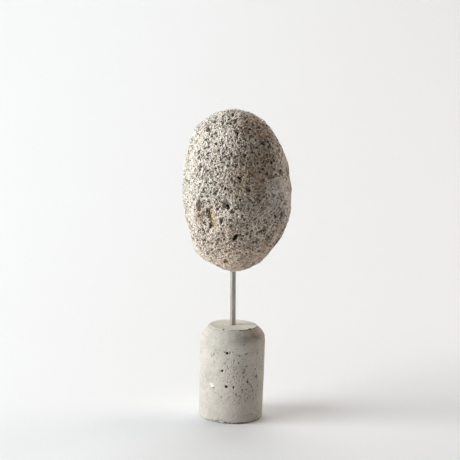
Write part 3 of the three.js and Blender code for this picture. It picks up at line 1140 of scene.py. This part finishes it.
def make_stone(settings):
    skin = bmesh.new()
    splits = STONE_SPLITS
    bmesh.ops.create_icosphere(skin, subdivisions=splits, radius=1)
    mesh = bpy.data.meshes.new("stone_skin")
    skin.to_mesh(mesh)
    skin.free()
    corners = np.empty(len(mesh.vertices) * 3, np.float32)
    mesh.vertices.foreach_get("co", corners)
    units = unit_vectors(corners.reshape(-1, 3) / STONE_HALF_SIZE**FACET_EVENNESS)
    points = skin_points(units) + STONE_CENTRE
    outwards = skin_normals(units)
    marks = marked_pits(STONE_MARKS.values())
    bowls = scatter_pits(BOWLS, marks)
    nicks = scatter_pits(NICKS, marks + bowls)
    add_number(mesh, "pitting", 1 - WORN_SMOOTH * patch_shares(points, SMOOTH_PATCHES))
    for name, patches in TINTED_PATCHES.items():
        add_number(mesh, name, patch_shares(points, patches))
    sunk = np.zeros(len(points))
    carve(points, np.zeros(len(points)), bowls, SOFT_WALL)
    carve(points, sunk, [narrowed(nick) for nick in nicks], wander=0.7, shade=0.75)
    carve(points, sunk, marks, wander=0.9, shade=0.35)
    carve(points, sunk, marked_pits(FINE_MARKS), wander=0.6, shade=0.45)
    underside = points[:, 2] < STONE_CENTRE[2] - STONE_HALF_SIZE[2] / 2
    drill(points, outwards, underside, ROD_TOP + FIT_GAP, STONE_GRID)
    finish_skin(mesh, points, outwards, sunk)
    stone = show("stone_skin", mesh)
    rugged = {
        "Lump Size": settings.lump_size,
        "Lump Height": settings.lump_height,
        "Bump Size": 0.0032,
        "Bump Height": 0.0008,
    }
    pores = {
        "Spacing": settings.pore_spacing,
        "Smallest Radius": settings.pore_radius * (1 - PORE_SPREAD),
        "Largest Radius": settings.pore_radius * (1 + PORE_SPREAD),
        "Depth Share": 1.4,
        "Wobble": 0.001,
        "Wobble Size": 0.002,
        "Patch Size": 0.02,
        "Patchiness": 0.4,
        "Seed": 3,
    }
    material = stone_material(settings)
    add_nodes(stone, rugged_tree(), rugged, material)
    add_nodes(stone, pore_tree(), pores, material)
    bake_modifiers(stone, STONE_TRIANGLES)
    dress(stone, material, "stone")


def make_rod(settings):
    length = (ROD_TOP - ROD_FOOT - 2 * ROD_RADIUS * math.sin(ROD_LEAN)) / math.cos(ROD_LEAN)
    foot, top = -length / 2, length / 2
    ends = [(ROD_RADIUS, foot + ROD_CHAMFER), (ROD_RADIUS, top - ROD_CHAMFER)]
    inner = ROD_RADIUS - ROD_CHAMFER
    side = evenly_along(ends, ROD_GRID).tolist()
    points, faces = lathe([(0, foot), (inner, foot), *side, (inner, top), (0, top)], ROD_SIDES)
    lean = np.array(Matrix.Rotation(-ROD_LEAN, 3, "Y"))
    mesh = bpy.data.meshes.new("rod_bar")
    mesh.from_pydata((points @ lean.T + ROD_MIDDLE) * MM, [], faces)
    mesh.shade_smooth()
    dress(show("rod_bar", mesh), steel_material(settings), "rod")


def base_profile():
    """Half of the base's section, from the middle of its underside to the middle of its top."""
    foot = [
        (FOOT_RADIUS - FOOT_ROUNDING * (1 - math.sin(turn)), FOOT_ROUNDING * (1 - math.cos(turn)))
        for turn in np.linspace(0, math.pi / 2, CURVE_POINTS)
    ]
    shoulder_foot = BASE_HEIGHT - DISC_STEP - SHOULDER_HEIGHT
    crease = [
        (BASE_RADIUS - CREASE_DEPTH * float(smooth_step(share, 0, 1)), shoulder_foot + rise)
        for share, rise in np.linspace((0, -CREASE_RISE), (1, 0), CURVE_POINTS)
    ]
    reach = BASE_RADIUS - CREASE_DEPTH - DISC_RADIUS
    shoulder = []
    for turn in np.linspace(0, math.pi / 2, SHOULDER_POINTS):
        radius = DISC_RADIUS + reach * math.cos(turn) ** (2 / SHOULDER_SQUARENESS)
        rise = SHOULDER_HEIGHT * math.sin(turn) ** (2 / SHOULDER_SQUARENESS)
        dip = GROOVE_DEPTH * math.exp(-(((radius - DISC_RADIUS) / GROOVE_WIDTH) ** 2))
        shoulder.append((radius, shoulder_foot + rise - dip))
    rim = (DISC_RADIUS, BASE_HEIGHT)
    top = [rim, (POLE_RADIUS, BASE_HEIGHT)]
    profile = evenly_along([(POLE_RADIUS, 0), foot[0]], UNDERSIDE_GRID).tolist()
    for line in (foot, [foot[-1], crease[0]], crease, shoulder, [shoulder[-1], rim], top):
        profile += evenly_along(line, BASE_GRID)[1:].tolist()
    return [(0, 0), *profile, (0, BASE_HEIGHT)]


def gathered(turns, name):
    """How strongly something gathers at azimuths: 1 in its middle, fading to both sides."""
    middle, half_width = GATHERED[name]
    return np.exp(-(((turns - middle) / half_width) ** 2))


def no_less(floor, shares):
    """Squeezes shares between 0 and 1 so that they run from a floor to 1."""
    return floor + (1 - floor) * shares


def make_base(settings):
    points, faces = lathe(base_profile(), round(2 * math.pi * BASE_RADIUS / BASE_GRID))
    mesh = bpy.data.meshes.new("base_casting")
    mesh.from_pydata(points * MM, [], faces)
    heights = points[:, 2].copy()
    radii = np.hypot(points[:, 0], points[:, 1])
    on_top = (heights > BASE_HEIGHT - LEVEL_WITHIN) & (radii < DISC_RADIUS - LEVEL_WITHIN)
    below = (heights < LEVEL_WITHIN) & (radii < FOOT_RADIUS - FOOT_ROUNDING)
    outwards = np.zeros_like(points)
    wall = ~on_top & ~below
    outwards[wall, :2] = points[wall, :2] / radii[wall, None]
    outwards[on_top, 2] = 1
    sunk = np.zeros(len(points))
    pale = np.zeros(len(points))
    pits = [wall_pit(hole, BASE_RADIUS) for hole in AIR_HOLES]
    pits += [wall_pit(notch, DISC_RADIUS) for notch in DISC_NOTCHES]
    carve(points, sunk, pits)
    carve(points, pale, [wall_pit(SHELL_CHIP, BASE_RADIUS)], SOFT_WALL, wander=0.9)
    turns = np.degrees(np.arctan2(points[:, 0], -points[:, 1]))
    band = smooth_step(heights, *PIN_BAND_FOOT) * (1 - smooth_step(heights, *PIN_BAND_TOP))
    corner = gathered(turns, "corner pins") * smooth_step(heights, *CORNER_PINS_FOOT)
    pinned = no_less(0.2, np.maximum(band, corner)) * no_less(0.45, gathered(turns, "pins"))
    numbers = {
        "pale": pale / SHELL_CHIP.depth,
        "pitting": pinned * wall,
        # A paler place on the front of the wall.
        "paler_front": gathered(turns, "paler_front") * (1 - smooth_step(heights, *PALER_FRONT_TOP)),
        # Painted shade on the shoulder's right side.
        "painted_shoulder_shade": gathered(turns, "painted_shoulder_shade") * smooth_step(heights, *PAINTED_SHADE_FOOT) * wall,
        "ragged": no_less(0.25, gathered(turns, "ragged")),
    }
    for name, values in numbers.items():
        add_number(mesh, name, values)
    seam = SEAM_HEIGHT + SEAM_WAVE * np.sin(np.radians(SEAM_WAVES * turns + SEAM_PHASE))
    seam = np.exp(-(((heights - seam) / SEAM_WIDTH) ** 2)) * gathered(turns, "seam")
    points -= outwards * (SEAM_DEPTH * seam)[:, None]
    drill(points, outwards, on_top, ROD_FOOT - FIT_GAP, BASE_GRID)
    finish_skin(mesh, points, outwards, sunk)
    base = show("base_casting", mesh)
    weather = {
        "Wave Size": 0.014,
        "Wave Height": 0.00008,
        "Chip Size": 0.0032,
        "Chip Depth": settings.chip_depth,
        "Chip Reach": 0.0036,
    }
    pin_holes = {
        "Spacing": settings.pin_spacing,
        "Smallest Radius": 0.0001,
        "Largest Radius": settings.pin_radius,
        "Depth Share": 1.2,
        "Wobble": 0.0004,
        "Wobble Size": 0.0015,
        "Patch Size": 0.012,
        "Patchiness": 1.0,
        "Seed": 12,
    }
    material = concrete_material(settings)
    add_nodes(base, weather_tree(), weather, material)
    add_nodes(base, pore_tree(), pin_holes, material)
    bake_modifiers(base, BASE_TRIANGLES)
    dress(base, material, "base")


# ---- the studio

CAMERA_AIM = Vector((-5.26, 0, 168.44)) * MM
CAMERA_DISTANCE = 1.0583
CAMERA_PITCH = math.radians(8.58)
CAMERA_ROLL = math.radians(1.66)
IMAGE_WIDTH = 460
FOCAL_PIXELS = 1200
SENSOR_WIDTH = 36
FARTHEST_SEEN = 50

SWEEP_FRONT = -1.3
SWEEP_BACK = 1.6
SWEEP_BEND = 1.2
SWEEP_TOP = 4.0
SWEEP_HALF_WIDTH = 1.7
SWEEP_BEND_STEPS = 24
STUDIO_MIDDLE = (0, 0, 0.14)


class StudioLight(NamedTuple):
    """A square soft light: azimuth and elevation in degrees, distance and side in metres."""

    azimuth: float
    elevation: float
    distance: float
    side: float
    watts: float
    colour: tuple
    aim: tuple = STUDIO_MIDDLE


KEY_TINT = (0.943, 0.976, 1)
RIM_TINT = (1, 0.868, 0.767)
TOP_TINT = (0.99, 1, 0.995)
LIGHTS = {
    "key": StudioLight(-70, 30, 1.8, 1.2, 26, KEY_TINT),
    "key_side": StudioLight(-85, 18, 1.8, 1.2, 6.9, KEY_TINT),
    "key_low": StudioLight(-80, 8, 1.8, 0.6, 14.4, KEY_TINT),
    "rim": StudioLight(110, 28, 1.7, 0.8, 8.7, RIM_TINT),
    "rim_low": StudioLight(125, 14, 1.7, 0.8, 3.3, RIM_TINT),
    "top": StudioLight(180, 62.9, 1.977, 1.2, 17.2, TOP_TINT),
    "backdrop_wash": StudioLight(-21.8, 42.9, 1.47, 0.5, 2.2, TOP_TINT, (-0.5, 1.6, 0.4)),
}


def make_sweep(settings):
    profile = [(SWEEP_FRONT, 0.0)]
    for turn in np.linspace(0, math.pi / 2, SWEEP_BEND_STEPS):
        back = SWEEP_BACK - SWEEP_BEND * (1 - math.sin(turn))
        profile.append((back, SWEEP_BEND * (1 - math.cos(turn))))
    profile.append((SWEEP_BACK, SWEEP_TOP))
    points = [(side * SWEEP_HALF_WIDTH, y, z) for y, z in profile for side in (-1, 1)]
    faces = [(row, row + 1, row + 3, row + 2) for row in range(0, len(points) - 2, 2)]
    mesh = bpy.data.meshes.new("studio_sweep")
    mesh.from_pydata(points, [], faces)
    mesh.shade_smooth()
    mesh.materials.append(paper_material(settings))
    show("studio_sweep", mesh)


def make_lights(settings):
    for name, light in LIGHTS.items():
        data = bpy.data.lights.new(name, "AREA")
        data.shape = "SQUARE"
        data.size = light.side
        data.energy = light.watts * settings.brightness
        data.color = light.colour
        lamp = show(name, data)
        towards = Vector(direction(light.azimuth, light.elevation))
        lamp.location = Vector(light.aim) + towards * light.distance
        lamp.rotation_mode = "QUATERNION"
        lamp.rotation_quaternion = towards.to_track_quat("Z", "Y")
    world = bpy.data.worlds.new("studio_air")
    world.use_nodes = True
    world.node_tree.nodes.clear()
    tree = Tree(world.node_tree)
    seen = tree.node("ShaderNodeLightPath").output("Is Camera Ray")
    inputs = {"Color": (*settings.air_colour, 1), "Strength": seen * settings.air_brightness}
    air = tree.node("ShaderNodeBackground", {}, inputs)
    tree.node("ShaderNodeOutputWorld", {}, {"Surface": air})
    bpy.context.scene.world = world


def make_camera():
    forward = Vector((0, math.cos(CAMERA_PITCH), -math.sin(CAMERA_PITCH)))
    level = Vector((1, 0, 0))
    upright = level.cross(forward)
    right = level * math.cos(CAMERA_ROLL) + upright * math.sin(CAMERA_ROLL)
    top = upright * math.cos(CAMERA_ROLL) - level * math.sin(CAMERA_ROLL)
    data = bpy.data.cameras.new("camera")
    data.sensor_width = SENSOR_WIDTH
    data.lens = SENSOR_WIDTH * FOCAL_PIXELS / IMAGE_WIDTH
    data.clip_end = FARTHEST_SEEN
    camera = show("camera", data)
    placed = Matrix((right, top, -forward)).transposed().to_4x4()
    placed.translation = CAMERA_AIM - forward * CAMERA_DISTANCE
    camera.matrix_world = placed
    bpy.context.scene.camera = camera


# ---- settings and operators


def colour_property(name, description, default):
    return FloatVectorProperty(
        name=name,
        description=description,
        default=default,
        min=0,
        max=1,
        size=3,
        subtype="COLOR",
    )


def length_property(name, description, default):
    return FloatProperty(
        name=name, description=description, default=default, min=0, precision=5, unit="LENGTH"
    )


class StoneSettings(bpy.types.PropertyGroup):
    """Sizes and colours of the stone."""

    lump_size: length_property("Lump size", "How far apart the stone's soft lumps are", 8.5 * MM)
    lump_height: length_property("Lump height", "How far the soft lumps rise", 0.52 * MM)
    pore_spacing: length_property("Pore spacing", "How far apart the open pores are", 2.8 * MM)
    pore_radius: length_property("Pore radius", "Middling radius of the open pores", 0.64 * MM)
    light: colour_property("Light", "Colour of the palest grains", (1, 0.91, 0.79))
    shade: colour_property("Shade", "Colour of the darker grains", (0.6, 0.53, 0.455))
    blush: colour_property("Blush", "Warm tint of the lowest third", (1, 0.88, 0.79))
    # Partly a painted highlight on the ridge that faces the key lamp.
    ridge_tint_and_painted_highlight: colour_property("Cream", "Tint of the smooth ridge", (1, 0.84, 0.62))
    ochre: colour_property("Ochre", "Tint of the rusty spots", (0.5, 0.28, 0.1))
    # Partly weather-worn colour, partly painted shade on the darker right side.
    darker_tint_and_painted_shade: colour_property("Dusk", "Tint of the weathered side", (0.59, 0.495, 0.415))
    slate: colour_property("Slate", "Tint of the grey patches", (0.62, 0.52, 0.46))
    # Partly painted rim light on the right edge.
    pale_edge_and_painted_rim_light: colour_property("Bare", "Tint of the pale worn patches", (1.0, 0.93, 0.87))
    # Colour of the painted shade deep in the pores and pits.
    pore: colour_property("Pore", "Colour deep in the pores", (0.05, 0.037, 0.024))
    # Tint of the ring round each pore.
    pore_ring_tint: colour_property("Stain", "Tint of the pores' walls", (0.78, 0.68, 0.54))
    # Colour of the painted shade deep in the lowest pores and pits.
    low_pore: colour_property("Low pore", "Colour deep in the lowest pores", (0.085, 0.052, 0.028))


class RodSettings(bpy.types.PropertyGroup):
    """Colours of the steel rod."""

    light_steel: colour_property("Light steel", "Colour of the drawn lines", (0.56, 0.535, 0.487))
    dark_steel: colour_property("Dark steel", "Colour between the lines", (0.32, 0.295, 0.262))


class BaseSettings(bpy.types.PropertyGroup):
    """Sizes and colours of the concrete base."""

    pin_spacing: length_property("Pin spacing", "How far apart the pin holes are", 2.1 * MM)
    pin_radius: length_property("Pin radius", "Radius of the largest pin holes", 0.5 * MM)
    chip_depth: length_property("Chip depth", "How deep the foot is chipped", 1.1 * MM)
    cement_light: colour_property("Light cement", "Colour of paler cement", (0.59, 0.55, 0.487))
    cement_shade: colour_property("Dark cement", "Colour of darker cement", (0.45, 0.422, 0.37))
    cement_warm: colour_property("Warm cement", "Colour of warmer clouds", (0.532, 0.482, 0.412))
    # Tint of the painted shade on the shoulder's right side.
    cement_painted_shade: colour_property("Damp", "Tint of the damp shoulder", (0.66, 0.62, 0.58))
    # Colour of the paler front of the wall.
    cement_paler_front: colour_property("Rubbed", "Colour of rubbed cement", (0.74, 0.67, 0.59))
    cement_chip: colour_property("Chip", "Colour of a fresh chip", (0.85, 0.84, 0.81))
    # Colour of the painted shade deep in the holes.
    cement_hole: colour_property("Hole", "Colour deep in the holes", (0.05, 0.045, 0.04))


class StudioSettings(bpy.types.PropertyGroup):
    """Light and paper of the studio."""

    brightness: FloatProperty(
        name="Brightness", description="Strength of every lamp", default=1.07, min=0
    )
    air_brightness: FloatProperty(
        name="Air", description="How bright the air beyond the paper looks", default=0.8, min=0
    )
    air_colour: colour_property("Air colour", "Colour beyond the paper", (1, 1, 1))
    paper: colour_property("Paper", "Colour of the floor and backdrop", (0.718, 0.718, 0.718))


class STAND_OT_make_stone(bpy.types.Operator):
    """Make the pitted stone"""

    bl_idname = "stone_stand.make_stone"
    bl_label = "Make Stone"

    def execute(self, context):
        make_stone(context.scene.stand_stone)
        return {"FINISHED"}


class STAND_OT_make_rod(bpy.types.Operator):
    """Make the steel rod that carries the stone"""

    bl_idname = "stone_stand.make_rod"
    bl_label = "Make Rod"

    def execute(self, context):
        make_rod(context.scene.stand_rod)
        return {"FINISHED"}


class STAND_OT_make_base(bpy.types.Operator):
    """Make the cast concrete base"""

    bl_idname = "stone_stand.make_base"
    bl_label = "Make Base"

    def execute(self, context):
        make_base(context.scene.stand_base)
        return {"FINISHED"}


class STAND_OT_make_studio(bpy.types.Operator):
    """Make the paper sweep, the lights and the camera"""

    bl_idname = "stone_stand.make_studio"
    bl_label = "Make Studio"

    def execute(self, context):
        make_camera()
        make_sweep(context.scene.stand_studio)
        make_lights(context.scene.stand_studio)
        return {"FINISHED"}


GROUPS = {
    "stand_studio": (StudioSettings, STAND_OT_make_studio),
    "stand_base": (BaseSettings, STAND_OT_make_base),
    "stand_rod": (RodSettings, STAND_OT_make_rod),
    "stand_stone": (StoneSettings, STAND_OT_make_stone),
}


class STAND_PT_sidebar(bpy.types.Panel):
    """Lists the pieces with their sizes and colours"""

    bl_label = "Stone Stand"
    bl_idname = "STAND_PT_sidebar"
    bl_space_type = "VIEW_3D"
    bl_region_type = "UI"
    bl_category = "Stone Stand"

    def draw(self, context):
        for attribute, (group, operator) in GROUPS.items():
            box = self.layout.box()
            box.operator(operator.bl_idname)
            for name in group.__annotations__:
                box.prop(getattr(context.scene, attribute), name)


def register():
    for attribute, (group, operator) in GROUPS.items():
        bpy.utils.register_class(group)
        bpy.utils.register_class(operator)
        setattr(bpy.types.Scene, attribute, PointerProperty(type=group))
    bpy.utils.register_class(STAND_PT_sidebar)


def unregister():
    bpy.utils.unregister_class(STAND_PT_sidebar)
    for attribute, (group, operator) in GROUPS.items():
        delattr(bpy.types.Scene, attribute)
        bpy.utils.unregister_class(operator)
        bpy.utils.unregister_class(group)


def main():
    register()
    bpy.context.scene.view_settings.view_transform = "Standard"
    bpy.ops.stone_stand.make_studio()
    bpy.ops.stone_stand.make_base()
    bpy.ops.stone_stand.make_rod()
    bpy.ops.stone_stand.make_stone()


if __name__ == "__main__":
    main()
